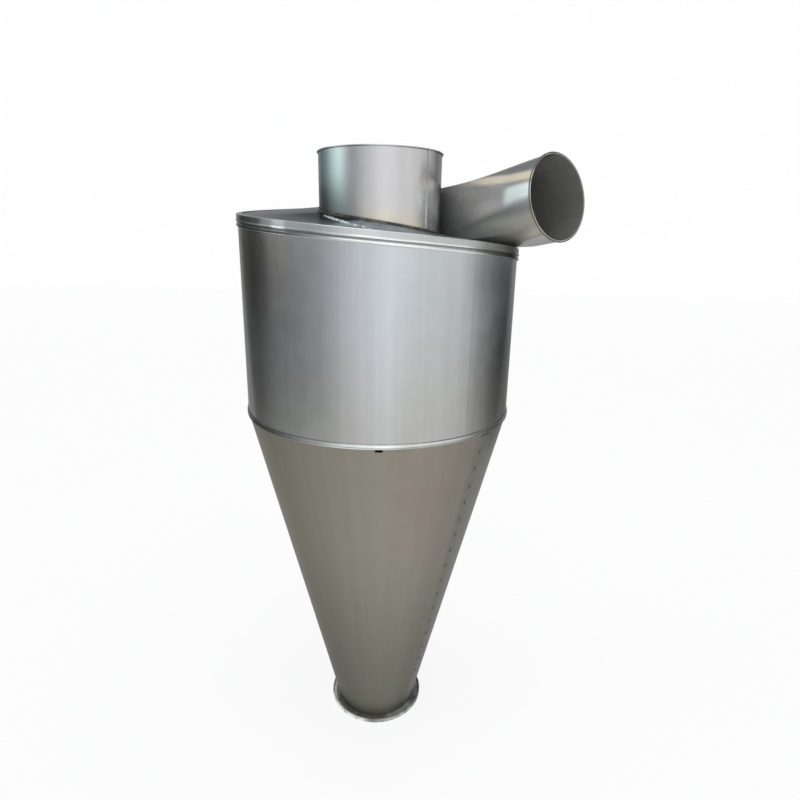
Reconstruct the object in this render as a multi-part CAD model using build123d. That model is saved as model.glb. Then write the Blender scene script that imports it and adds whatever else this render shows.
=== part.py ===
import os
from math import acos, asin, cos, degrees, hypot, radians, sin, sqrt, tan

from build123d import *

# Cyclone separator of thin steel sheet: a round barrel under a roof that comes down in one
# spiral turn, a round inlet pipe that joins the barrel on a tangent above the low end of the
# roof, an outlet pipe through the middle of the roof, and a cone that ends in a ring flange.
# The origin is the middle of the flange's underside, the axis of the body is +Z, and the
# camera that took the reference picture stood on the -Y side.

# Body
barrel_radius = 300.0       # outside of the barrel
sheet = 1.5                 # thickness of all the rolled sheet
cone_end_radius = 100.0     # outside of the cone where it stands on the flange
cone_end_height = 829.5     # from the flange's top up to the barrel
barrel_high_side = 483.0    # from the cone up to the roof where the roof is highest
roof_drop = 142.0           # fall of the roof in its one turn
roof_crown = 26.0           # rise from rim to outlet pipe at the low end, none at the high end
panels = 4                  # panels round the barrel, the roof and its rim
step_angle = 37.3           # plan angle of the step between the roof's high and low ends

# Fits between pieces
seat_gap = 0.3              # room between a piece and the curved or sloped piece it sits on
notch_gap = 1.2             # room that roof, rim and barrel leave round the inlet
cut_over = 5.0              # how far a cutting solid runs past what it cuts
roll_sides = 8              # flats round a rolled edge

# Folded rim that holds the roof on the barrel, heights down from the roof's edge
rim_lap = 9.0               # width of the fold that lies on the roof
rim_stand = 2.2             # how far the folded edge stands out
rim_bevel = 1.2             # softened corners of the fold
hem_top = 8.5
hem_stand = 3.4
hem_foot = 13.6
groove_stand = 1.2          # sheet behind the groove
bead_top = 16.3
bead_stand = 3.0
bead_foot = 22.2

# Outlet pipe, which runs on down inside the barrel
outlet_radius = 131.0
outlet_stand_up = 67.0      # top of the pipe above the highest point of the rim
outlet_reach_down = 145.0   # bottom of the pipe below the lowest point of the roof
outlet_bead = 1.3           # radius of the rolled top edge
outlet_lap_width = 20.0
outlet_lap_angle = 318.0
outlet_weld_leg = 5.0

# Inlet pipe
inlet_gap = 1.0             # room between the outlet pipe and the inlet pipe
inlet_rise = 9.7            # angle of the inlet pipe above level
inlet_square_length = 238.0 # length over which the inlet turns from square to round
inlet_round_length = 24.0   # plain round stretch after that
inlet_collar_length = 46.0  # separate collar that carries the mouth
inlet_bead = 1.1            # radius of the rolled edge at the mouth

# Joint of barrel and cone
waist_foot = 4.0            # reach of the swaged ring below the joint
waist_head = 7.0            # reach above it
waist_bulge = 2.4           # how far its broad upper ridge stands out
waist_ridge = 3.6           # height of its narrow lower ridge
waist_ridge_stand = 1.9
waist_groove_stand = 0.9    # sheet behind the groove between the two ridges
waist_bevel = 0.9
notch_width = 15.0          # small notch in the cone's upper edge, below the ring
notch_depth = 10.0
notch_angle = 272.5

# Seam of the cone
cone_lap_width = 26.0
cone_lap_stand = 0.9        # how far the pressed lap stands out
cone_lap_angle = 318.3

# Ring flange at the lower end
flange_radius = 120.0
flange_thickness = 2.5
flange_lip_height = 6.0
flange_lip_roll = 1.7       # radius of the roll on the lip's edge
spigot_height = 15.0        # collar that stands up inside the cone

# Worked out from the sizes above
full_turn = 360.0
panel_sweep = full_turn / panels
seam_z = flange_thickness + cone_end_height
roof_high_z = seam_z + barrel_high_side
roof_low_z = roof_high_z - roof_drop
cone_slope = (barrel_radius - cone_end_radius) / cone_end_height
cone_wall = sheet * hypot(1, cone_slope)
spigot_radius = cone_end_radius - cone_wall - seat_gap
bore_radius = spigot_radius - sheet
inlet_radius = (barrel_radius - outlet_radius - inlet_gap) / 2
inlet_offset = barrel_radius - inlet_radius
cross_turn = degrees(acos(inlet_offset / barrel_radius))
cross_reach = sqrt(barrel_radius**2 - inlet_offset**2)
cross_rim_z = roof_low_z + roof_drop * cross_turn / full_turn + sheet + seat_gap
inlet_half_height = inlet_radius / cos(radians(inlet_rise))
inlet_root_z = (
    cross_rim_z + seat_gap + inlet_half_height - cross_reach * tan(radians(inlet_rise))
)
outlet_top_z = roof_high_z + outlet_stand_up
outlet_bottom_z = roof_low_z - outlet_reach_down


def ring_section(points, sweep=full_turn, start=0.0):
    """Turns an outline of (radius, height) points about the body's axis."""
    outline = Plane.XZ * make_face(Polyline(*points, close=True))
    return Rot(0, 0, start) * revolve(outline, Axis.Z, sweep)


def rolled_edge(radius):
    """Section of an edge that is rolled round, flat against the wall inside it."""
    half_side = full_turn / roll_sides / 2
    return RegularPolygon(radius, roll_sides, major_radius=False, rotation=half_side)


def roof_rise(radius):
    """Height of the roof's top over its rim at the low end, at one radius."""
    return roof_crown * (barrel_radius - radius) / (barrel_radius - outlet_radius)


def roof_height(radius, turn, crown=True):
    """Height of the roof's top after a turn, in degrees clockwise from its low end."""
    rise = roof_rise(radius) if crown else 0.0
    return roof_low_z + rise + (roof_drop - rise) * turn / full_turn


def roof_line(radius, top, sweep, start, crown=True):
    """Helix that follows the roof clockwise and up from start, top above it."""
    turn = step_angle + full_turn - start
    low = roof_height(radius, turn, crown)
    pitch = roof_height(radius, full_turn, crown) - roof_height(radius, 0.0, crown)
    line = Helix(
        pitch=pitch,
        height=pitch * sweep / full_turn,
        radius=radius,
        center=(0, 0, low + top),
        lefthand=True,
    )
    return Rot(0, 0, start) * line.edges()[0]


def spiral_slab(inner, outer, top, depth, sweep, start, crown=True):
    """Slab under a helical strip whose upper side is top above the roof."""
    strip = Face.make_surface_from_curves(
        roof_line(inner, top, sweep, start, crown),
        roof_line(outer, top, sweep, start, crown),
    )
    return extrude(strip, amount=depth, dir=(0, 0, -1))


def spiral_bar(radius, points, sweep_angle, start):
    """Outline of (distance out, height over the rim line) carried along the roof's edge."""
    line = roof_line(radius, 0.0, sweep_angle, start, crown=False)
    base = (line @ 0).Z
    corners = [(radius + out, base + up) for out, up in points]
    outline = Plane.XZ * make_face(Polyline(*corners, close=True))
    return sweep(Rot(0, 0, start) * outline, path=line, is_frenet=True)


def panel_start(index):
    """Plan angle of the lower edge of a panel, the last one counted from the step."""
    return step_angle + full_turn - index * panel_sweep


def cone_notch():
    """Room for the small notch that shows below the ring in front."""
    notch = Box(
        barrel_radius,
        notch_width,
        notch_depth + cut_over,
        align=(Align.MIN, Align.CENTER, Align.MIN),
    )
    return Rot(0, 0, notch_angle) * Pos(0, 0, seam_z - notch_depth) * notch


def cone_panel(start):
    inner_low = cone_end_radius - cone_wall
    inner_high = barrel_radius - cone_wall
    profile = [
        (inner_low, flange_thickness),
        (cone_end_radius, flange_thickness),
        (barrel_radius, seam_z),
        (inner_high, seam_z),
    ]
    return ring_section(profile, panel_sweep, start)


def cone_lap_strip():
    """Outer sheet of the cone's lap seam, as wide at the bottom as at the top."""
    foot = flange_thickness + flange_lip_height
    head = seam_z - 2 * waist_foot
    out_low = cone_end_radius + cone_slope * (foot - flange_thickness) + seat_gap
    out_high = cone_end_radius + cone_slope * (head - flange_thickness) + seat_gap
    profile = [
        (out_low, foot),
        (out_low + cone_lap_stand, foot),
        (out_high + cone_lap_stand, head),
        (out_high, head),
    ]
    half_turn = full_turn / 2
    shell = ring_section(profile, half_turn, -half_turn / 2)
    strip = Box(
        barrel_radius + cut_over,
        cone_lap_width,
        seam_z,
        align=(Align.MIN, Align.MIN, Align.MIN),
    )
    return Rot(0, 0, cone_lap_angle) * (shell & strip)


def barrel_panel(start):
    wall = ring_section(
        [
            (barrel_radius - sheet, seam_z),
            (barrel_radius, seam_z),
            (barrel_radius, roof_high_z + cut_over),
            (barrel_radius - sheet, roof_high_z + cut_over),
        ],
        panel_sweep,
        start - panel_sweep,
    )
    above = roof_drop + 2 * cut_over
    margin = panel_sweep / panels
    cutter = spiral_slab(
        barrel_radius - sheet - cut_over,
        barrel_radius + cut_over,
        above - sheet - seat_gap,
        above,
        panel_sweep + 2 * margin,
        start + margin,
        crown=False,
    )
    return wall - cutter


def roof_panel(start):
    inner = outlet_radius + seat_gap
    return spiral_slab(inner, barrel_radius, 0.0, sheet, panel_sweep, start)


def rim_panel(start):
    """Edge folded over the roof and down the barrel: hem, groove and a bead along its foot."""
    inside = barrel_radius + seat_gap
    top = seat_gap + sheet
    leg = spiral_bar(
        inside,
        [
            (0, top),
            (rim_stand - rim_bevel, top),
            (rim_stand, top - rim_bevel),
            (rim_stand, -hem_top),
            (hem_stand, -hem_top - 2 * rim_bevel),
            (hem_stand, rim_bevel - hem_foot),
            (groove_stand, -hem_foot),
            (groove_stand, -bead_top),
            (bead_stand, -bead_top - 2 * rim_bevel),
            (bead_stand, rim_bevel - bead_foot),
            (bead_stand - rim_bevel, -bead_foot),
            (0, -bead_foot),
        ],
        panel_sweep,
        start,
    )
    lap = spiral_slab(
        barrel_radius - rim_lap, inside + groove_stand / 2, top, sheet, panel_sweep, start
    )
    return leg + lap


def waist_ring():
    """Swaged ring that covers the joint of barrel and cone, with a broad and a narrow ridge."""
    inside = barrel_radius + seat_gap
    low = seam_z - waist_foot
    high = seam_z + waist_head
    groove = low + waist_ridge
    return ring_section(
        [
            (inside, low),
            (inside + waist_ridge_stand, low + waist_bevel),
            (inside + waist_ridge_stand, groove - waist_bevel),
            (inside + waist_groove_stand, groove),
            (inside + waist_bulge, groove + waist_bevel),
            (inside + waist_bulge - waist_bevel / 2, high - waist_bevel),
            (inside, high),
        ]
    )


def outlet_tube():
    return ring_section(
        [
            (outlet_radius - sheet, outlet_bottom_z),
            (outlet_radius, outlet_bottom_z),
            (outlet_radius, outlet_top_z),
            (outlet_radius - sheet, outlet_top_z),
        ]
    )


def outlet_rim():
    """Rolled edge round the top of the outlet pipe."""
    centre = outlet_radius + seat_gap + outlet_bead
    roll = Plane.XZ * Pos(centre, outlet_top_z - outlet_bead) * rolled_edge(outlet_bead)
    return revolve(roll, Axis.Z, full_turn)


def outlet_lap_strip():
    """Outer sheet of the lap seam on the outlet pipe, from the roof up to the rolled edge."""
    roof_here = roof_height(outlet_radius, step_angle + full_turn - outlet_lap_angle)
    foot = roof_here + outlet_weld_leg + seat_gap
    head = outlet_top_z - 2 * outlet_bead - seat_gap
    inside = outlet_radius + seat_gap
    sweep = degrees(outlet_lap_width / outlet_radius)
    profile = [(inside, foot), (inside + sheet, foot), (inside + sheet, head), (inside, head)]
    return ring_section(profile, sweep, outlet_lap_angle)


def outlet_weld():
    """Fillet weld that follows the spiral roof round the outlet pipe."""
    inside = outlet_radius + seat_gap
    clear = degrees(asin(inlet_radius / barrel_radius))
    sweep = full_turn - 2 * clear
    leg = outlet_weld_leg
    low = spiral_slab(inside, inside + leg, seat_gap + leg / 2, leg / 2, sweep,
                      step_angle + full_turn - clear)
    high = spiral_slab(inside, inside + leg / 2, seat_gap + leg, leg, sweep,
                       step_angle + full_turn - clear)
    return low + high


def inlet_plane(along):
    """Plane across the inlet pipe at a distance along its axis from the step."""
    rise = radians(inlet_rise)
    centre = (inlet_offset, -along * cos(rise), inlet_root_z + along * sin(rise))
    return Plane(origin=centre, x_dir=(1, 0, 0), z_dir=(0, -cos(rise), sin(rise)))


def inlet_square_face(inset):
    """Opening at the step, between the roof's low end and its high end."""
    outer = barrel_radius - inset
    inner = outlet_radius + inlet_gap + inset
    low = roof_low_z - sheet + inset
    high = roof_high_z - inset
    corners = [
        (outer, 0, low + roof_rise(outer)),
        (outer, 0, high),
        (inner, 0, high),
        (inner, 0, low + roof_rise(inner)),
    ]
    return make_face(Polyline(*corners, close=True))


def inlet_round_face(inset):
    """Round end of the square part, in four arcs that start at its four corners."""
    radius = inlet_radius - inset
    quarter = full_turn / 4
    arcs = [
        CenterArc((0, 0), radius, quarter * side - quarter / 2, quarter) for side in range(4)
    ]
    return inlet_plane(inlet_square_length) * make_face(arcs)


def inlet_square_solid(inset):
    return loft([inlet_square_face(inset), inlet_round_face(inset)], ruled=True)


def inlet_pipe_solid(outside, inside, start, length):
    """Round stretch of the inlet, as a pipe or, with no inside radius, as a full bar."""
    section = Circle(outside)
    if inside:
        section -= Circle(inside)
    return extrude(inlet_plane(start) * section, amount=length)


def inlet_transition():
    """Square to round stretch that leads from the pipe down to the step in the roof."""
    return Rot(0, 0, step_angle) * (inlet_square_solid(0.0) - inlet_square_solid(sheet))


def inlet_pipe():
    """Plain round stretch of the inlet."""
    pipe = inlet_pipe_solid(
        inlet_radius, inlet_radius - sheet, inlet_square_length, inlet_round_length
    )
    return Rot(0, 0, step_angle) * pipe


def inlet_collar():
    """Collar at the mouth, butted to the end of the pipe."""
    collar = inlet_pipe_solid(
        inlet_radius,
        inlet_radius - sheet,
        inlet_square_length + inlet_round_length,
        inlet_collar_length,
    )
    return Rot(0, 0, step_angle) * collar


def inlet_clearance():
    """Room that the roof leaves for the inlet where the two cross."""
    round_part = inlet_pipe_solid(
        inlet_radius + notch_gap, 0.0, inlet_square_length, inlet_round_length
    )
    return Rot(0, 0, step_angle) * (inlet_square_solid(-notch_gap) + round_part)


def inlet_rim():
    """Rolled edge round the mouth of the collar."""
    mouth = inlet_square_length + inlet_round_length + inlet_collar_length
    centre = inlet_radius + seat_gap + inlet_bead
    roll = Plane.XZ * Pos(centre, -inlet_bead) * rolled_edge(inlet_bead)
    ring = revolve(roll, Axis.Z, full_turn)
    return Rot(0, 0, step_angle) * inlet_plane(mouth).location * ring


def discharge_flange():
    """Ring flange with a collar inside the cone and a rolled lip round its edge."""
    lip_inside = flange_radius - sheet
    lip_top = flange_thickness + flange_lip_height - flange_lip_roll
    profile = [
        (bore_radius, 0),
        (flange_radius, 0),
        (flange_radius, lip_top),
        (lip_inside, lip_top),
        (lip_inside, flange_thickness),
        (spigot_radius, flange_thickness),
        (spigot_radius, flange_thickness + spigot_height),
        (bore_radius, flange_thickness + spigot_height),
    ]
    centre = flange_radius - flange_lip_roll
    roll = Plane.XZ * Pos(centre, lip_top) * rolled_edge(flange_lip_roll)
    return ring_section(profile) + revolve(roll, Axis.Z, full_turn)


def cyclone():
    """All pieces by name."""
    pieces = {
        "discharge_flange": discharge_flange(),
        "cone_lap_strip": cone_lap_strip(),
        "waist_ring": waist_ring(),
        "outlet_tube": outlet_tube(),
        "outlet_rim": outlet_rim(),
        "outlet_lap_strip": outlet_lap_strip(),
        "outlet_weld": outlet_weld(),
        "inlet_transition": inlet_transition(),
        "inlet_pipe": inlet_pipe(),
        "inlet_collar": inlet_collar(),
        "inlet_rim": inlet_rim(),
    }
    inlet = inlet_clearance()
    notch = cone_notch()
    for index, side in enumerate(["right", "front", "left", "back"]):
        start = panel_start(index)
        pieces["cone_" + side] = cone_panel(cone_lap_angle - index * panel_sweep) - notch
        pieces["barrel_" + side] = barrel_panel(start) - inlet
        pieces["roof_" + side] = roof_panel(start) - inlet
        pieces["rim_" + side] = rim_panel(start) - inlet
    return pieces


os.makedirs("parts", exist_ok=True)
for name, piece in cyclone().items():
    export_step(piece, os.path.join("parts", name + ".step"))
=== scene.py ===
import math

import bmesh
import bpy
from mathutils import Matrix, Vector, noise


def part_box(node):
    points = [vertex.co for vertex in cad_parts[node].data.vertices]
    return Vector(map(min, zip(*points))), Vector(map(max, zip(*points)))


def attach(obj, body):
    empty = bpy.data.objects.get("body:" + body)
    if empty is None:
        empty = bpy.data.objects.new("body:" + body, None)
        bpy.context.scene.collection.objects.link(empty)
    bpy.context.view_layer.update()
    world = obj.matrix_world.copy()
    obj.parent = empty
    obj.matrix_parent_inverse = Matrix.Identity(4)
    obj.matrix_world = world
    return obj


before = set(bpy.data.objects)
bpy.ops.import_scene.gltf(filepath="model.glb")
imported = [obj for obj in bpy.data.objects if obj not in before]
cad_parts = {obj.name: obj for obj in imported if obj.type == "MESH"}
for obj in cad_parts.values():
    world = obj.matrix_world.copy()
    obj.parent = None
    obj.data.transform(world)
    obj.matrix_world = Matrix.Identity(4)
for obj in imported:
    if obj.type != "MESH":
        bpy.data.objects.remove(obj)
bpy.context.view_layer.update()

# Cyclone separator: finishes, small details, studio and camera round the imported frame.
# Lengths are in metres and angles in degrees. Plan angles count from +X towards +Y.

SIDES = ("front", "left", "back", "right")

# Photograph: camera fitted to the object
CAMERA_PLACE = (0.0507, -1.2875, 1.2146)
CAMERA_DOWN = 16.23
CAMERA_TURN = 0.03
CAMERA_ROLL = 1.08
FOCAL_PIXELS = 561.4
FRAME_PIXELS = 800
SENSOR = 36.0

# Studio: soft light by direction, degrees to the right of the camera as seen from the object
CEILING = (0.62, 0.63, 0.65, 1.0)
GROUND = (0.70, 0.70, 0.70, 1.0)
PALE = (0.985, 0.985, 0.985)
GLOW_SHARE = 0.8
GLOW = 1.06
SPECK_SHARE = 0.995
# Where the studio's parts blend: the direction's height, and for SIDE_BLEND its share to the right
LEFT_BLEND = (0.055, 0.11)
RIGHT_BLEND = (-0.14, 0.05)
SIDE_BLEND = (-0.1, 0.3)
CEILING_BLEND = (0.35, 0.75)
GROUND_BLEND = (-0.20, -0.62)
LOW_AIR = (
    (-180, (0.70, 0.70, 0.70)),
    (-150, (0.26, 0.26, 0.26)),
    (-115, (0.10, 0.10, 0.10)),
    (-85, (0.22, 0.23, 0.23)),
    (-55, (0.33, 0.34, 0.34)),
    (-38, (0.49, 0.50, 0.50)),
    (-24, (0.78, 0.78, 0.79)),
    (-5, (0.99, 0.99, 1.02)),
    (7, (1.17, 1.18, 1.24)),
    (24, (0.98, 0.98, 0.97)),
    (62, (0.86, 0.86, 0.85)),
    (76, (0.74, 0.74, 0.73)),
    (92, (0.34, 0.34, 0.33)),
    (112, (0.15, 0.15, 0.15)),
    (148, (0.14, 0.14, 0.14)),
    (180, (0.70, 0.70, 0.70)),
)
HIGH_AIR = (
    (-180, (0.70, 0.70, 0.70)),
    (-148, (0.26, 0.26, 0.26)),
    (-112, (0.49, 0.50, 0.50)),
    (-94, (1.30, 1.33, 1.32)),
    (-78, (2.00, 2.04, 2.04)),
    (-65, (1.14, 1.16, 1.16)),
    (-54, (0.42, 0.43, 0.43)),
    (-36, (0.64, 0.65, 0.65)),
    (-18, (0.94, 0.94, 0.94)),
    (0, (1.10, 1.10, 1.11)),
    (14, (1.26, 1.26, 1.26)),
    (34, (1.05, 1.05, 1.04)),
    (84, (0.92, 0.92, 0.90)),
    (104, (0.62, 0.62, 0.61)),
    (124, (0.36, 0.36, 0.36)),
    (148, (0.16, 0.16, 0.16)),
    (180, (0.70, 0.70, 0.70)),
)

# Object, read from the frame
cone_low, cone_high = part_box("cone_front")
SEAM_Z = cone_high.z
CONE_FOOT_Z = cone_low.z
TUBE_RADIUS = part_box("outlet_tube")[1].x

# Object, sizes that the frame's boxes don't give
BODY_RADIUS = 0.300
CONE_FOOT_RADIUS = 0.100
ROOF_LOW_Z = 1.173
ROOF_DROP = 0.142
ROOF_CROWN = 0.026
STEP_TURN = 37.3
INLET_RADIUS = 0.084
INLET_OFFSET = 0.216
INLET_ROOT_Z = 1.2421
INLET_RISE = 9.7
# The inlet's warm band, leaning round it, is a painted highlight.
HIGHLIGHT_LEAN = 88.0  # degrees that the inlet's warm streak turns round it for each metre along
LAP_TURN = 318.3
LAP_WIDTH = 0.026
LAP_STAND = 0.0012

# Rim's profile: heights of its bands over the roof's edge
RIM_FOLD = (-0.0092, -0.0078)
RIM_HEM = (-0.0130, -0.0092)
RIM_GROOVE = (-0.0158, -0.0140)
RIM_BEAD = (-0.0212, -0.0174)
RIM_SOFT = 0.0006

# Where tones end out of the photograph's sight, as plan angles
LEFT_OUTLINE = 196.0
BACK_FADE = 50.0


def polar(radius, degrees, height):
    """Point at a plan angle, counted from +X towards +Y."""
    angle = math.radians(degrees)
    return Vector((radius * math.cos(angle), radius * math.sin(angle), height))


def roof_height(x, y):
    """Height of the spiral roof over a point of the plan. It climbs clockwise from the step."""
    degrees = math.degrees(math.atan2(y, x)) % 360.0
    share = (STEP_TURN + 360.0 - degrees) / 360.0
    rise = ROOF_CROWN * (BODY_RADIUS - math.hypot(x, y)) / (BODY_RADIUS - TUBE_RADIUS)
    return ROOF_LOW_Z + rise + (ROOF_DROP - rise) * share


def cone_point(degrees, height, out=0.0):
    """Point on the cone's outside."""
    share = (height - CONE_FOOT_Z) / (SEAM_Z - CONE_FOOT_Z)
    radius = CONE_FOOT_RADIUS + (BODY_RADIUS - CONE_FOOT_RADIUS) * share
    return polar(radius + out, degrees, height)


# Node trees

NOISE_RANGE = (0.3, 0.7)


class Tree:
    """Short way to add and join shader nodes."""

    def __init__(self, tree):
        self.tree = tree
        self.tree.nodes.clear()

    def add(self, kind, values=None, **settings):
        node = self.tree.nodes.new(kind)
        for key, value in settings.items():
            setattr(node, key, value)
        for key, value in (values or {}).items():
            if isinstance(value, bpy.types.NodeSocket):
                self.tree.links.new(value, node.inputs[key])
            else:
                node.inputs[key].default_value = value
        return node

    def math(self, operation, first, second=0.0, third=0.0):
        return self.add(
            "ShaderNodeMath", {0: first, 1: second, 2: third}, operation=operation
        ).outputs[0]

    def times(self, first, *others):
        """Product of masks and shares."""
        product = first
        for factor in others:
            product = self.math("MULTIPLY", product, factor)
        return product

    def mix(self, factor, first, second, blend="MIX"):
        node = self.add(
            "ShaderNodeMix", {"Factor": factor, 6: first, 7: second},
            data_type="RGBA", blend_type=blend,
        )
        return node.outputs[2]

    def ramp(self, value, low, high, start=0.0, end=1.0):
        return self.add(
            "ShaderNodeMapRange",
            {"Value": value, "From Min": low, "From Max": high, "To Min": start, "To Max": end},
        ).outputs[0]

    def from_noise(self, value, start, end):
        """Brings the usual range of a noise to start and end."""
        return self.ramp(value, *NOISE_RANGE, start, end)

    def smooth(self, value, low, high):
        """0 at low, 1 at high, with soft ends; low may lie above high."""
        return self.add(
            "ShaderNodeMapRange",
            {"Value": value, "From Min": low, "From Max": high},
            interpolation_type="SMOOTHSTEP",
        ).outputs[0]

    def window(self, value, low, high, soft, lead=None):
        """1 between low and high, with soft edges outside them; lead is the rise's own width."""
        rise = self.smooth(value, low - (lead or soft), low)
        fall = self.smooth(value, high + soft, high)
        return self.times(rise, fall)

    def stops(self, value, table):
        """Colour band from (degrees right of the camera, colour) pairs."""
        node = self.add("ShaderNodeValToRGB", {"Fac": value})
        band = node.color_ramp
        band.elements.remove(band.elements[1])
        for index, (degrees, colour) in enumerate(table):
            share = degrees / 360.0 + 0.5
            if index:
                stop = band.elements.new(share)
            else:
                stop = band.elements[0]
                stop.position = share
            stop.color = list(colour) + [1.0]
        return node.outputs[0]

    def noise(self, place, scale, detail=4.0, rough=0.55, distort=0.0):
        return self.add(
            "ShaderNodeTexNoise",
            {"Vector": place, "Scale": scale, "Detail": detail, "Roughness": rough,
             "Distortion": distort},
        ).outputs[0]

    def stretched(self, place, scale):
        return self.add("ShaderNodeMapping", {"Vector": place, "Scale": scale}).outputs[0]

    def split(self, vector):
        return self.add("ShaderNodeSeparateXYZ", {0: vector}).outputs

    def grey(self, value):
        return self.add("ShaderNodeCombineColor", {0: value, 1: value, 2: value}).outputs[0]

    def object_place(self):
        return self.add("ShaderNodeTexCoord").outputs["Object"]

    def bump(self, height, strength, distance):
        return self.add(
            "ShaderNodeBump", {"Height": height, "Strength": strength, "Distance": distance}
        ).outputs[0]

    def end_with_metal(self, base, metallic, roughness, more=None):
        """Principled shader and the material's output."""
        values = {"Base Color": base, "Metallic": metallic, "Roughness": roughness}
        shader = self.add("ShaderNodeBsdfPrincipled", {**values, **(more or {})})
        self.add("ShaderNodeOutputMaterial", {"Surface": shader.outputs[0]})


def new_material(name):
    material = bpy.data.materials.new(name)
    material.use_nodes = True
    return material, Tree(material.node_tree)


def turn_round(tree, place):
    """Plan angle of a place, 90 to 450 degrees, so that it jumps at the back."""
    parts = tree.split(place)
    angle = tree.math("DIVIDE", tree.math("ARCTAN2", parts[1], parts[0]), math.tau)
    share = tree.math("FRACT", tree.math("SUBTRACT", angle, 0.25))
    return tree.math("MULTIPLY_ADD", share, 360.0, 90.0)


def radius_round(tree, place):
    """Distance of a place from the Z axis."""
    parts = tree.split(place)
    squared = tree.math("MULTIPLY_ADD", parts[0], parts[0], tree.times(parts[1], parts[1]))
    return tree.math("SQRT", squared)


def rolled(tree, place, radius):
    """Coordinates rolled off the local Z axis: arc length and height."""
    parts = tree.split(place)
    arc = tree.times(tree.math("ARCTAN2", parts[1], parts[0]), radius)
    return tree.add("ShaderNodeCombineXYZ", {0: arc, 2: parts[2]}).outputs[0]


def inlet_place(tree, place):
    """Place seen from the inlet pipe: Z along its axis from the step, Y up across it."""
    turn, rise = math.radians(STEP_TURN), math.radians(INLET_RISE)
    level = Vector((math.cos(turn), math.sin(turn), 0.0))
    axis = Vector(
        (math.cos(rise) * math.sin(turn), -math.cos(rise) * math.cos(turn), math.sin(rise))
    )
    upward = axis.cross(level)
    angles = Matrix((level, upward, axis)).transposed().to_euler()
    root = polar(INLET_OFFSET, STEP_TURN, INLET_ROOT_Z)
    return tree.add(
        "ShaderNodeMapping", {"Vector": place, "Location": root, "Rotation": angles},
        vector_type="TEXTURE",
    ).outputs[0]


def spiral_share(tree, turn):
    """Share of the roof's one turn that lies below a plan angle, 0 to 1."""
    turns = tree.math("DIVIDE", turn, 360.0)
    return tree.math("FRACT", tree.math("SUBTRACT", STEP_TURN / 360.0, turns))


def over_spiral(tree, place, low, drop):
    """Height over a spiral edge that starts at a low height and climbs by a drop."""
    edge = tree.math("MULTIPLY_ADD", spiral_share(tree, turn_round(tree, place)), drop, low)
    return tree.math("SUBTRACT", tree.split(place)[2], edge)


# Tones of the object's places: mask, colour and sometimes a blend. Angles are plan angles


def barrel_tones(tree, place):
    """Duller foot; painted shade on the left side, with a darker band, and at the right top and
    right edge.
    """
    height = tree.split(place)[2]
    turn = turn_round(tree, place)
    foot = tree.smooth(height, 1.12, 0.86)
    yield foot, (0.515, 0.52, 0.503)
    # Painted shade on the left side, with a darker band of painted shade in it.
    shaded_left_side = tree.times(tree.window(turn, 205, 236, 14, 40), tree.smooth(height, 0.95, 1.15))
    yield shaded_left_side, (0.50, 0.493, 0.478)
    shade_stripe = tree.times(tree.window(turn, 218, 225, 6), tree.smooth(height, 0.98, 1.15))
    yield shade_stripe, (0.32, 0.32, 0.31)
    # Painted shade at the right top and along the right edge.
    shaded_right_top = tree.times(tree.window(turn, 314, 322, 12, 14), tree.smooth(height, 1.06, 1.16))
    yield shaded_right_top, (0.64, 0.64, 0.63), "MULTIPLY"
    shaded_right_edge = tree.times(
        tree.smooth(turn, 316, 337), tree.smooth(turn, 378, 336), tree.smooth(height, 1.18, 0.96)
    )
    yield shaded_right_edge, (0.52, 0.52, 0.51), "MULTIPLY"


def rim_tones(tree, place):
    """Painted highlights and painted shade on the rim's fold, hem, groove and bead, by where light
    falls.
    """
    turn = turn_round(tree, place)
    up = over_spiral(tree, place, ROOF_LOW_Z, ROOF_DROP)
    fold = tree.smooth(up, *RIM_FOLD)
    hem = tree.window(up, *RIM_HEM, RIM_SOFT)
    groove = tree.window(up, *RIM_GROOVE, 0.0007)
    bead = tree.window(up, *RIM_BEAD, RIM_SOFT)
    # Painted shade on the left end and on the fold in front, a painted highlight on the hem in
    # front, painted shade on the hem at the left.
    yield tree.window(turn, LEFT_OUTLINE, 224, 4, BACK_FADE), (0.36, 0.38, 0.37)
    yield tree.times(fold, tree.window(turn, 276, 306, 8)), (0.50, 0.52, 0.52)
    yield tree.times(hem, tree.window(turn, 258, 302, 5)), (0.85, 0.88, 0.88)
    yield tree.times(hem, tree.window(turn, 228, 248, 6)), (0.40, 0.42, 0.42)
    # Painted glint.
    glint = tree.window(turn, 234, 237, 3)
    yield glint, (0.95, 1.0, 1.0)
    # Painted shade on the right side and on the bead, with a painted highlight on the bead in
    # front.
    shaded_right_side = tree.times(tree.smooth(turn, 303, 313), tree.smooth(turn, 390, 340))
    yield shaded_right_side, (0.34, 0.34, 0.34)
    yield bead, (0.17, 0.18, 0.18)
    in_front = tree.times(tree.smooth(turn, 236, 262), tree.smooth(turn, 320, 301))
    yield tree.times(bead, in_front), (0.76, 0.79, 0.78)
    # Painted shade in the groove.
    off_left = tree.math("SUBTRACT", 1.0, tree.window(turn, LEFT_OUTLINE, 221, 8, 40))
    yield tree.times(groove, 0.65, off_left), (0.05, 0.05, 0.05)


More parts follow.
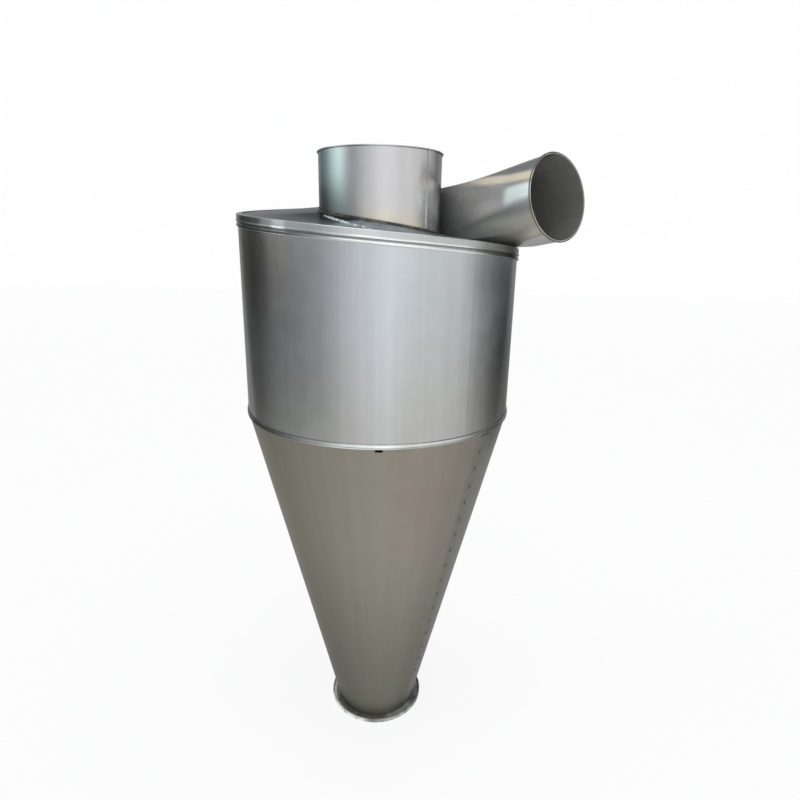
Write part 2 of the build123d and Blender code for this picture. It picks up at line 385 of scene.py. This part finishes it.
def ring_tones(tree, place):
    """Painted highlight along the ragged front of the swaged ring, painted shade on its sides and
    foot.
    """
    turn = turn_round(tree, place)
    # Painted highlight on the front, broken up by noise.
    ragged_noise = tree.noise(tree.stretched(place, (14.0, 14.0, 260.0)), 1.0, 4.0, 0.6)
    ragged = tree.smooth(ragged_noise, 0.3, 0.6)
    yield tree.times(tree.window(turn, 258, 272, 14), ragged), (0.90, 0.93, 0.91)
    # Painted shade on the left and right sides.
    yield tree.window(turn, LEFT_OUTLINE, 226, 24, BACK_FADE), (0.30, 0.31, 0.30)
    shaded_right_side = tree.times(tree.smooth(turn, 292, 320), tree.smooth(turn, 400, 345))
    yield shaded_right_side, (0.42, 0.43, 0.42)
    # Painted shade at the ring's foot in front, where it meets the cone.
    foot = tree.smooth(tree.split(place)[2], SEAM_Z, SEAM_Z - 0.0012)
    yield tree.times(foot, tree.window(turn, 273, 296, 22, 10)), (0.72, 0.71, 0.68), "MULTIPLY"


def cone_tones(tree, place):
    """Darker foot, painted shade on the sides, a faint pink patch, darker beyond the lap, painted
    shadow under the ring.
    """
    height = tree.split(place)[2]
    turn = turn_round(tree, place)
    foot = tree.smooth(height, 0.66, 0.02)
    yield foot, (0.172, 0.166, 0.132)
    cloud = tree.noise(place, 9.0, 3.0, 0.6)
    pink = tree.times(
        tree.window(turn, 284, 302, 12), tree.window(height, 0.60, 0.79, 0.09),
        tree.smooth(cloud, 0.35, 0.6), 0.5,
    )
    yield pink, (0.310, 0.250, 0.228)
    # Painted shade on the left and right sides.
    shaded_left_side = tree.times(tree.smooth(turn, 276, 212), tree.smooth(turn, 105, 175))
    yield shaded_left_side, (0.57, 0.565, 0.53), "MULTIPLY"
    fade = tree.smooth(turn, 430, 335)
    shaded_right_side = tree.times(tree.smooth(turn, 284, 314), fade)
    yield shaded_right_side, (0.74, 0.73, 0.74), "MULTIPLY"
    beside_lap = tree.times(tree.smooth(turn, LAP_TURN - 5.0, LAP_TURN + 1.0), fade, 0.7)
    yield beside_lap, (0.150, 0.154, 0.138)
    # Painted shadow under the ring at the right.
    corner = tree.times(
        tree.smooth(turn, 316, 328), tree.smooth(height, 0.74, 0.83),
        tree.smooth(turn, 375, 335), 0.8,
    )
    yield corner, (0.07, 0.072, 0.07)


def tube_tones(tree, place):
    """Painted teal reflection and low painted shade at the left, low painted highlight at the
    right, painted warm reflection, darker foot by the weld.
    """
    turn = turn_round(tree, place)
    up = over_spiral(tree, place, ROOF_LOW_Z + ROOF_CROWN, ROOF_DROP - ROOF_CROWN)
    # Painted teal reflection at the left.
    teal_reflection = tree.times(tree.smooth(turn, 250, 232), tree.smooth(turn, 160, 222))
    yield teal_reflection, (0.79, 1.0, 0.99), "MULTIPLY"
    # Painted highlight low on the right side.
    low = tree.smooth(up, 0.11, 0.04)
    yield tree.times(tree.window(turn, 311, 350, 7), low, 0.5), (0.95, 0.95, 0.94)
    yield tree.times(tree.window(turn, 326, 350, 6), low), (0.98, 0.98, 0.97)
    # Painted warm reflection low in front.
    warm_reflection = tree.times(tree.smooth(up, 0.050, 0.006), tree.window(turn, 262, 302, 18), 0.55)
    yield warm_reflection, (0.66, 0.61, 0.45)
    # Painted shade low on the left.
    foot_shade = tree.times(tree.smooth(up, 0.085, 0.010), tree.window(turn, 180, 232, 22), 0.8)
    yield foot_shade, (0.18, 0.21, 0.21)
    # Darker just above the weld.
    dark_foot_band = tree.times(tree.smooth(up, 0.009, 0.002), 0.6)
    yield dark_foot_band, (0.10, 0.10, 0.09)


def roof_tones(tree, place):
    """Painted reflection in a bright band before the outlet pipe, painted shade at its left, spots
    of dirt.
    """
    turn = turn_round(tree, place)
    cloud = tree.noise(place, 30.0, 4.0, 0.6)
    # Painted reflection: a bright band in front of the outlet pipe.
    strip = tree.times(tree.window(turn, 258, 288, 10), tree.smooth(cloud, 0.25, 0.50))
    yield strip, (0.80, 0.92, 0.98)
    far_left = tree.times(tree.window(turn, 150, 200, 32), 0.35)
    yield far_left, (0.66, 0.70, 0.70)
    radius = radius_round(tree, place)
    # Painted shade in the corner at the left of the outlet pipe.
    shaded_nook = tree.times(tree.window(turn, 214, 246, 14), tree.smooth(radius, 0.27, 0.17))
    yield shaded_nook, (0.12, 0.15, 0.15)
    dirt = tree.noise(place, 85.0, 5.0, 0.7, 0.6)
    yield tree.times(tree.smooth(dirt, 0.60, 0.78), 0.35), (0.08, 0.08, 0.075)


def inlet_tones(tree, place):
    """Along the inlet: painted warm light below, painted shade on top, a leaning warm painted
    highlight, painted reflection by the mouth, painted shade at the root.
    """
    local = inlet_place(tree, place)
    turn = turn_round(tree, local)
    along = tree.split(local)[2]
    # Painted warm light on the lower side.
    lit_underside = tree.times(tree.window(turn, 206, 232, 15), tree.smooth(along, 0.12, 0.25))
    yield lit_underside, (0.74, 0.70, 0.60)
    leaning = tree.math("MULTIPLY_ADD", along, -HIGHLIGHT_LEAN, turn)
    # Painted shade on the top of the pipe.
    above = tree.times(tree.smooth(leaning, 121.0, 113.0), tree.smooth(leaning, 20.0, 60.0))
    yield above, (0.62, 0.64, 0.64), "MULTIPLY"
    # Warm painted highlight along the pipe, leaning round it.
    highlight_streak = tree.times(tree.window(leaning, 122.5, 127.5, 7), tree.smooth(along, -0.02, 0.31))
    yield highlight_streak, (1.0, 0.90, 0.70)
    # Painted reflection towards the mouth.
    patch = tree.times(tree.window(turn, 165, 177, 13, 7), tree.smooth(along, 0.232, 0.254))
    yield patch, (0.90, 1.0, 0.98)
    # Painted shade at the root.
    root = tree.times(tree.smooth(along, 0.13, 0.02), 0.75)
    yield root, (0.13, 0.145, 0.14)


def flange_tones(tree, place):
    """Painted light at the front right, bright plate inside the lip, painted highlight on the lip
    at the left, painted shade by the cone and far right, spots and clouds.
    """
    turn = turn_round(tree, place)
    radius = radius_round(tree, place)
    # Painted light on the front right.
    yield tree.window(turn, 285, 325, 16), (0.52, 0.55, 0.50)
    plate = tree.smooth(radius, 0.1180, 0.1165)
    yield plate, (0.62, 0.65, 0.59)
    # Painted highlight on the lip at the left.
    lit_outer_lip = tree.smooth(radius, 0.1095, 0.1120)
    yield tree.times(tree.window(turn, LEFT_OUTLINE, 250, 16, 60), lit_outer_lip), (0.95, 0.98, 0.92)
    # Painted shade beside the cone.
    shaded_inner = tree.smooth(radius, 0.1115, 0.1090)
    yield tree.times(tree.window(turn, LEFT_OUTLINE, 282, 14, 60), shaded_inner), (0.25, 0.25, 0.22)
    # Painted shade at the far right.
    shaded_far_right = tree.window(turn, 336, 350, 40, 14)
    yield shaded_far_right, (0.20, 0.21, 0.20)
    spots = tree.noise(place, 75.0, 5.0, 0.7, 0.6)
    yield tree.times(tree.smooth(spots, 0.50, 0.66), 0.7), (0.08, 0.08, 0.07)
    cloud = tree.noise(place, 24.0, 3.0, 0.6)
    yield tree.times(tree.smooth(cloud, 0.5, 0.7), 0.5), (0.42, 0.45, 0.41)


# Finishes


def sheet_metal(name, colour, rough, radius=BODY_RADIUS, mottle=0.03, waves=0.08, metal=1.0,
                edge=0.3, tones=None, lie=None):
    """Rolled steel sheet: soft clouds, faint upright streaks, brushed gloss, shallow waves."""
    material, tree = new_material(name)
    place = tree.object_place()
    sheet = rolled(tree, lie(tree, place) if lie else place, radius)
    mist = tree.noise(sheet, 26.0, 4.0, 0.55)
    streaks = tree.noise(tree.stretched(sheet, (60.0, 1.0, 1.2)), 1.0, 3.0, 0.6)
    brushed = tree.noise(tree.stretched(sheet, (900.0, 1.0, 16.0)), 1.0, 2.0, 0.5)

    base = list(colour) + [1.0]
    for mask, tone, *blend in tones(tree, place) if tones else ():
        base = tree.mix(mask, base, list(tone) + [1.0], *blend)
    wear = tree.times(
        tree.from_noise(mist, 1.0 - mottle, 1.0 + mottle),
        tree.from_noise(streaks, 1.0 - mottle, 1.0 + mottle),
    )
    base = tree.mix(1.0, base, tree.grey(wear), "MULTIPLY")

    clouded = tree.from_noise(mist, rough - 0.02, rough + 0.03)
    roughness = tree.math("ADD", clouded, tree.from_noise(brushed, -0.01, 0.01))
    wave = tree.noise(tree.stretched(sheet, (8.0, 1.0, 1.4)), 1.0, 1.0, 0.4)
    tree.end_with_metal(
        base, metal, roughness,
        {"Normal": tree.bump(wave, waves, 0.003), "Specular Tint": (edge, edge, edge, 1.0)},
    )
    return material


def lumpy_metal(name, colour, dark_share=0.45):
    """Weld or sealant with an uneven skin."""
    material, tree = new_material(name)
    place = tree.object_place()
    lumps = tree.noise(place, 260.0, 4.0, 0.7, 0.5)
    patches = tree.noise(place, 70.0, 3.0, 0.6)
    dark = [channel * dark_share for channel in colour] + [1.0]
    base = tree.mix(tree.ramp(patches, 0.40, 0.60), dark, list(colour) + [1.0])
    skin = tree.bump(lumps, 0.6, 0.0015)
    tree.end_with_metal(base, 0.9, tree.from_noise(lumps, 0.25, 0.5), {"Normal": skin})
    return material


def burnt_metal(name):
    """Dark mark that a spot weld leaves, a little lighter in places."""
    material, tree = new_material(name)
    speck = tree.noise(tree.object_place(), 420.0, 3.0, 0.6)
    base = tree.mix(speck, (0.035, 0.033, 0.028, 1.0), (0.12, 0.115, 0.10, 1.0))
    tree.end_with_metal(base, 0.5, tree.ramp(speck, 0.0, 1.0, 0.45, 0.7))
    return material


def finishes():
    """Material of each part of the object, by the part's name."""
    cone = dict(rough=0.46, radius=0.2, metal=0.55, edge=0.6, tones=cone_tones)
    inlet = dict(rough=0.25, radius=INLET_RADIUS, waves=0.06, lie=inlet_place)
    return {
        "barrel": sheet_metal(
            "barrel_sheet", (0.53, 0.557, 0.585), 0.23, waves=0.12, tones=barrel_tones
        ),
        "roof": sheet_metal(
            "roof_sheet", (0.32, 0.36, 0.365), 0.36, mottle=0.08, edge=0.2, tones=roof_tones
        ),
        "rim": sheet_metal(
            "rim_sheet", (0.64, 0.67, 0.67), 0.22, waves=0.05, tones=rim_tones
        ),
        "ring": sheet_metal(
            "ring_sheet", (0.68, 0.70, 0.69), 0.22, waves=0.05, tones=ring_tones
        ),
        "cone": sheet_metal("cone_sheet", (0.310, 0.292, 0.240), **cone),
        "pipe": sheet_metal(
            "pipe_sheet", (0.57, 0.57, 0.58), 0.26, radius=TUBE_RADIUS, waves=0.06,
            tones=tube_tones,
        ),
        "inlet": sheet_metal(
            "inlet_sheet", (0.46, 0.46, 0.45), metal=0.6, tones=inlet_tones, **inlet
        ),
        "mouth": sheet_metal("mouth_edge", (0.16, 0.155, 0.14), metal=0.6, **inlet),
        "flange": sheet_metal(
            "flange_sheet", (0.30, 0.32, 0.30), 0.38, mottle=0.10, metal=0.5, tones=flange_tones
        ),
        "weld": lumpy_metal("weld_bead", (0.17, 0.165, 0.145)),
        "sealant": lumpy_metal("sealant_smear", (0.72, 0.80, 0.79), 0.3),
        "burnt": burnt_metal("spot_weld_mark"),
    }


def dress(node, material):
    """Gives a node from the frame its finish."""
    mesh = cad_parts[node].data
    mesh.materials.clear()
    mesh.materials.append(material)


def dress_nodes(finish):
    """Finishes for every node of the frame."""
    for side in SIDES:
        for part in ("barrel", "cone", "roof", "rim"):
            dress(part + "_" + side, finish[part])
    for node, part in (
        ("cone_lap_strip", "cone"), ("waist_ring", "ring"), ("outlet_tube", "pipe"),
        ("outlet_rim", "pipe"), ("outlet_lap_strip", "pipe"), ("inlet_transition", "inlet"),
        ("inlet_pipe", "inlet"), ("inlet_collar", "inlet"), ("inlet_rim", "mouth"),
        ("outlet_weld", "weld"), ("discharge_flange", "flange"),
    ):
        dress(node, finish[part])


# Small details of the object

MERGE = 1e-6  # points nearer than this are joined


def piece(name, mesh, material):
    """Turns a bmesh into a piece that rides on the object's one body."""
    bmesh.ops.recalc_face_normals(mesh, faces=mesh.faces)
    data = bpy.data.meshes.new(name)
    mesh.to_mesh(data)
    mesh.free()
    data.materials.append(material)
    thing = bpy.data.objects.new(name, data)
    bpy.context.scene.collection.objects.link(thing)
    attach(thing, "root")


def strip(mesh, rows):
    """Skins rows of points, each as long as the next, into quads."""
    made = [[mesh.verts.new(point) for point in row] for row in rows]
    for row, after in zip(made, made[1:]):
        for index in range(len(row) - 1):
            mesh.faces.new((row[index], row[index + 1], after[index + 1], after[index]))
    return made


# Spot welds of the lap, from the top down
SPOT_HEIGHTS = (
    0.785, 0.744, 0.699, 0.658, 0.613, 0.570, 0.526, 0.482, 0.438, 0.395, 0.352, 0.309,
    0.266, 0.222, 0.180, 0.137,
)
SPOT_WIDE = 0.0084
SPOT_TALL = 0.0120
SPOT_INSET = 0.0050
SPOT_STRAY = 0.0012
SPOT_UNEVEN = 0.12
SPOT_SIDES = 18
SPOT_RINGS = ((1.0, 0.0001), (0.72, 0.0005), (0.35, 0.0003))  # share of the width, height


def lap_point(sideways, height, out):
    """Point beside the plane that the lap's free edge lies in."""
    radius = cone_point(0.0, height).x
    return cone_point(LAP_TURN + math.degrees(math.asin(sideways / radius)), height, out)


def spot_weld_rings(index, height):
    """Rings of one spot weld, from its edge on the lap up to its crown."""
    wobble = noise.noise(Vector((index * 1.7, 0.3, 0.9)))
    centre = lap_point(SPOT_INSET + SPOT_STRAY * wobble, height, LAP_STAND)
    degrees = math.degrees(math.atan2(centre.y, centre.x))
    slope = (BODY_RADIUS - CONE_FOOT_RADIUS) / (SEAM_Z - CONE_FOOT_Z)
    sideways = polar(1.0, degrees + 90.0, 0.0)
    outward = (polar(1.0, degrees, 0.0) - Vector((0.0, 0.0, slope))).normalized()
    upward = outward.cross(sideways)
    rings = []
    for spread, lift in SPOT_RINGS:
        ring = []
        for step in range(SPOT_SIDES + 1):
            angle = math.tau * (step % SPOT_SIDES) / SPOT_SIDES
            lumps = noise.noise(Vector((math.cos(angle), math.sin(angle), index)))
            uneven = 1.0 + SPOT_UNEVEN * lumps
            ring.append(
                centre
                + sideways * SPOT_WIDE / 2 * spread * uneven * math.cos(angle)
                + upward * SPOT_TALL / 2 * spread * uneven * math.sin(angle)
                + outward * lift
            )
        rings.append(ring)
    return rings


def spot_welds(material):
    """Row of spot welds beside the free edge of the cone's lap, as low burnt domes."""
    mesh = bmesh.new()
    for index, height in enumerate(SPOT_HEIGHTS):
        made = strip(mesh, spot_weld_rings(index, height))
        mesh.faces.new(made[-1][:SPOT_SIDES])
    bmesh.ops.remove_doubles(mesh, verts=mesh.verts, dist=MERGE)
    piece("spot_welds", mesh, material)


# Run-out beside the lap
LAP_RUN_OUT = 0.0080
LAP_RAGGED = 0.0010
LAP_COVER = 0.0006  # width of the run-out that lies on the lap
LAP_STEPS = 80
LAP_FOOT_ROOM = 0.012  # bare ends of the lap below and above the run-out
LAP_HEAD_ROOM = 0.009


def lap_edges(material):
    """Thin run-out of solder on both edges of the cone's lap, so it ends softly."""
    mesh = bmesh.new()
    low, high = CONE_FOOT_Z + LAP_FOOT_ROOM, SEAM_Z - LAP_HEAD_ROOM
    for edge, away in ((0.0, -1.0), (LAP_WIDTH, 1.0)):
        rows = []
        for step in range(LAP_STEPS + 1):
            height = low + (high - low) * step / LAP_STEPS
            ragged = LAP_RAGGED * noise.noise(Vector((height * 30.0, away, 0.0)))
            spread = LAP_RUN_OUT + ragged
            rows.append((
                lap_point(edge - away * LAP_COVER, height, LAP_STAND + 0.00005),
                lap_point(edge + away * spread * 0.30, height, LAP_STAND * 0.70),
                lap_point(edge + away * spread * 0.65, height, LAP_STAND * 0.25),
                lap_point(edge + away * spread, height, -0.0001),
            ))
        strip(mesh, rows)
    piece("lap_edges", mesh, material)


# Smear of sealant on the roof
SEALANT_FIRST = Vector((-0.106, -0.118))  # plan, beside the outlet pipe
SEALANT_LAST = Vector((-0.003, -0.287))  # plan, at the rim
SEALANT_WIDE = 0.0200
SEALANT_STEPS = 110
SEALANT_LANES = 7
SEALANT_RAGGED = 0.006
SEALANT_SUNK = 0.0010  # depth in the roof's sheet at which its lowest places are hidden
SEALANT_THICK = 0.0042


def sealant(material):
    """Broken smear of bright sealant on the roof, from beside the outlet pipe to the rim."""
    run = SEALANT_LAST - SEALANT_FIRST
    across = Vector((-run.y, run.x)).normalized()
    mesh = bmesh.new()
    rows = []
    for step in range(SEALANT_STEPS + 1):
        share = step / SEALANT_STEPS
        middle = SEALANT_FIRST + run * share
        half_wide = SEALANT_WIDE / 2 * math.sin(math.pi * share) ** 0.4
        row = []
        for lane in range(SEALANT_LANES):
            side = 2.0 * lane / (SEALANT_LANES - 1) - 1.0
            ragged = SEALANT_RAGGED * noise.noise(Vector((share * 40.0, side, 0.0)))
            spot = middle + across * (side * half_wide + ragged)
            bump = 0.5 + 0.9 * noise.noise(Vector((share * 45.0, side * 2.5, 3.0)))
            up = SEALANT_THICK * max(0.0, bump) * (1.0 - side * side) - SEALANT_SUNK
            row.append(Vector((spot.x, spot.y, roof_height(spot.x, spot.y) + up)))
        rows.append(row)
    strip(mesh, rows)
    bmesh.ops.remove_doubles(mesh, verts=mesh.verts, dist=MERGE)
    bmesh.ops.dissolve_degenerate(mesh, edges=mesh.edges, dist=MERGE)
    piece("roof_sealant", mesh, material)


# Stage


def camera():
    """Camera of the photograph."""
    lens = bpy.data.cameras.new("camera")
    lens.sensor_width = SENSOR
    lens.lens = SENSOR * FOCAL_PIXELS / FRAME_PIXELS
    lens.clip_start = 0.02
    lens.clip_end = 60.0
    eye = bpy.data.objects.new("camera", lens)
    down, turn, roll = (math.radians(v) for v in (CAMERA_DOWN, CAMERA_TURN, CAMERA_ROLL))
    tilt = Matrix.Rotation(-turn, 4, "Z") @ Matrix.Rotation(math.pi / 2 - down, 4, "X")
    eye.matrix_world = (
        Matrix.Translation(CAMERA_PLACE) @ tilt @ Matrix.Rotation(roll, 4, "Z")
    )
    bpy.context.scene.collection.objects.link(eye)
    bpy.context.scene.camera = eye


def top_light():
    """Large soft lamp above the object, in front and to the right of it."""
    side, radiance = 2.0, 0.8
    distance, turn, height = 0.6, -70.0, 3.2
    middle_of_object = Vector((0.0, 0.0, 1.0))
    lamp = bpy.data.lights.new("top", "AREA")
    lamp.shape = "RECTANGLE"
    lamp.size = side
    lamp.size_y = side
    lamp.energy = radiance * math.pi * side * side
    box = bpy.data.objects.new("top", lamp)
    box.location = polar(distance, turn, height)
    box.rotation_mode = "QUATERNION"
    box.rotation_quaternion = (middle_of_object - box.location).to_track_quat("-Z", "Y")
    box.visible_camera = False
    bpy.context.scene.collection.objects.link(box)


def studio_air(tree):
    """Colour of the studio by direction: low and high bands, a ceiling and a ground."""
    parts = tree.split(tree.add("ShaderNodeTexCoord").outputs["Generated"])
    turn = tree.math("ARCTAN2", parts[0], tree.times(parts[1], -1.0))
    share = tree.math("ADD", tree.math("DIVIDE", turn, math.tau), 0.5)
    lift_left = tree.smooth(parts[2], *LEFT_BLEND)
    lift_right = tree.smooth(parts[2], *RIGHT_BLEND)
    rightward = tree.smooth(parts[0], *SIDE_BLEND)
    leftward = tree.math("SUBTRACT", 1.0, rightward)
    lift = tree.math("ADD", tree.times(lift_right, rightward), tree.times(lift_left, leftward))
    side = tree.mix(lift, tree.stops(share, LOW_AIR), tree.stops(share, HIGH_AIR))
    above = tree.smooth(parts[2], *CEILING_BLEND)
    below = tree.smooth(parts[2], *GROUND_BLEND)
    return tree.mix(below, tree.mix(above, side, CEILING), GROUND)


def pale_paint(name):
    """Matt paint that shows its own pale colour and keeps a soft shadow."""
    material, tree = new_material(name)
    speck = tree.noise(tree.object_place(), 2.0, 2.0, 0.5)
    dimmer = [channel * SPECK_SHARE for channel in PALE] + [1.0]
    tone = tree.mix(speck, dimmer, list(PALE) + [1.0])
    matt = tree.add("ShaderNodeBsdfDiffuse", {"Color": tone}).outputs[0]
    glow = tree.add("ShaderNodeEmission", {"Color": tone, "Strength": GLOW}).outputs[0]
    path = tree.add("ShaderNodeLightPath").outputs
    seen = tree.math("MAXIMUM", path["Is Camera Ray"], path["Is Glossy Ray"])
    seen = tree.math("MAXIMUM", seen, path["Is Transmission Ray"])
    factor = tree.times(seen, GLOW_SHARE)
    both = tree.add("ShaderNodeMixShader", {0: factor, 1: matt, 2: glow}).outputs[0]
    tree.add("ShaderNodeOutputMaterial", {"Surface": both})
    return material


def plane(name, corners, material):
    """Flat sheet of the stage."""
    mesh = bpy.data.meshes.new(name)
    mesh.from_pydata(corners, [], [range(len(corners))])
    mesh.materials.append(material)
    thing = bpy.data.objects.new(name, mesh)
    bpy.context.scene.collection.objects.link(thing)


def studio():
    """Pale floor and backdrop, the air all round and the lamp."""
    front, near, corner = -1.5, 1.6, 0.6
    reach, wide, tall = 11.0, 9.4, 6.0
    paint = pale_paint("studio_paint")
    plane(
        "floor",
        [(-near, front, 0.0), (near, front, 0.0), (near, corner, 0.0), (wide, reach, 0.0),
         (-wide, reach, 0.0), (-near, corner, 0.0)],
        paint,
    )
    plane(
        "backdrop",
        [(-wide, reach, 0.0), (wide, reach, 0.0), (wide, reach, tall), (-wide, reach, tall)],
        paint,
    )
    world = bpy.data.worlds.new("studio")
    bpy.context.scene.world = world
    world.use_nodes = True
    tree = Tree(world.node_tree)
    sky = tree.add(
        "ShaderNodeBackground", {"Color": studio_air(tree), "Strength": 1.0}
    ).outputs[0]
    tree.add("ShaderNodeOutputWorld", {"Surface": sky})
    top_light()
    bpy.context.scene.view_settings.view_transform = "Standard"


camera()
finish = finishes()
dress_nodes(finish)
spot_welds(finish["burnt"])
lap_edges(finish["cone"])
sealant(finish["sealant"])
studio()
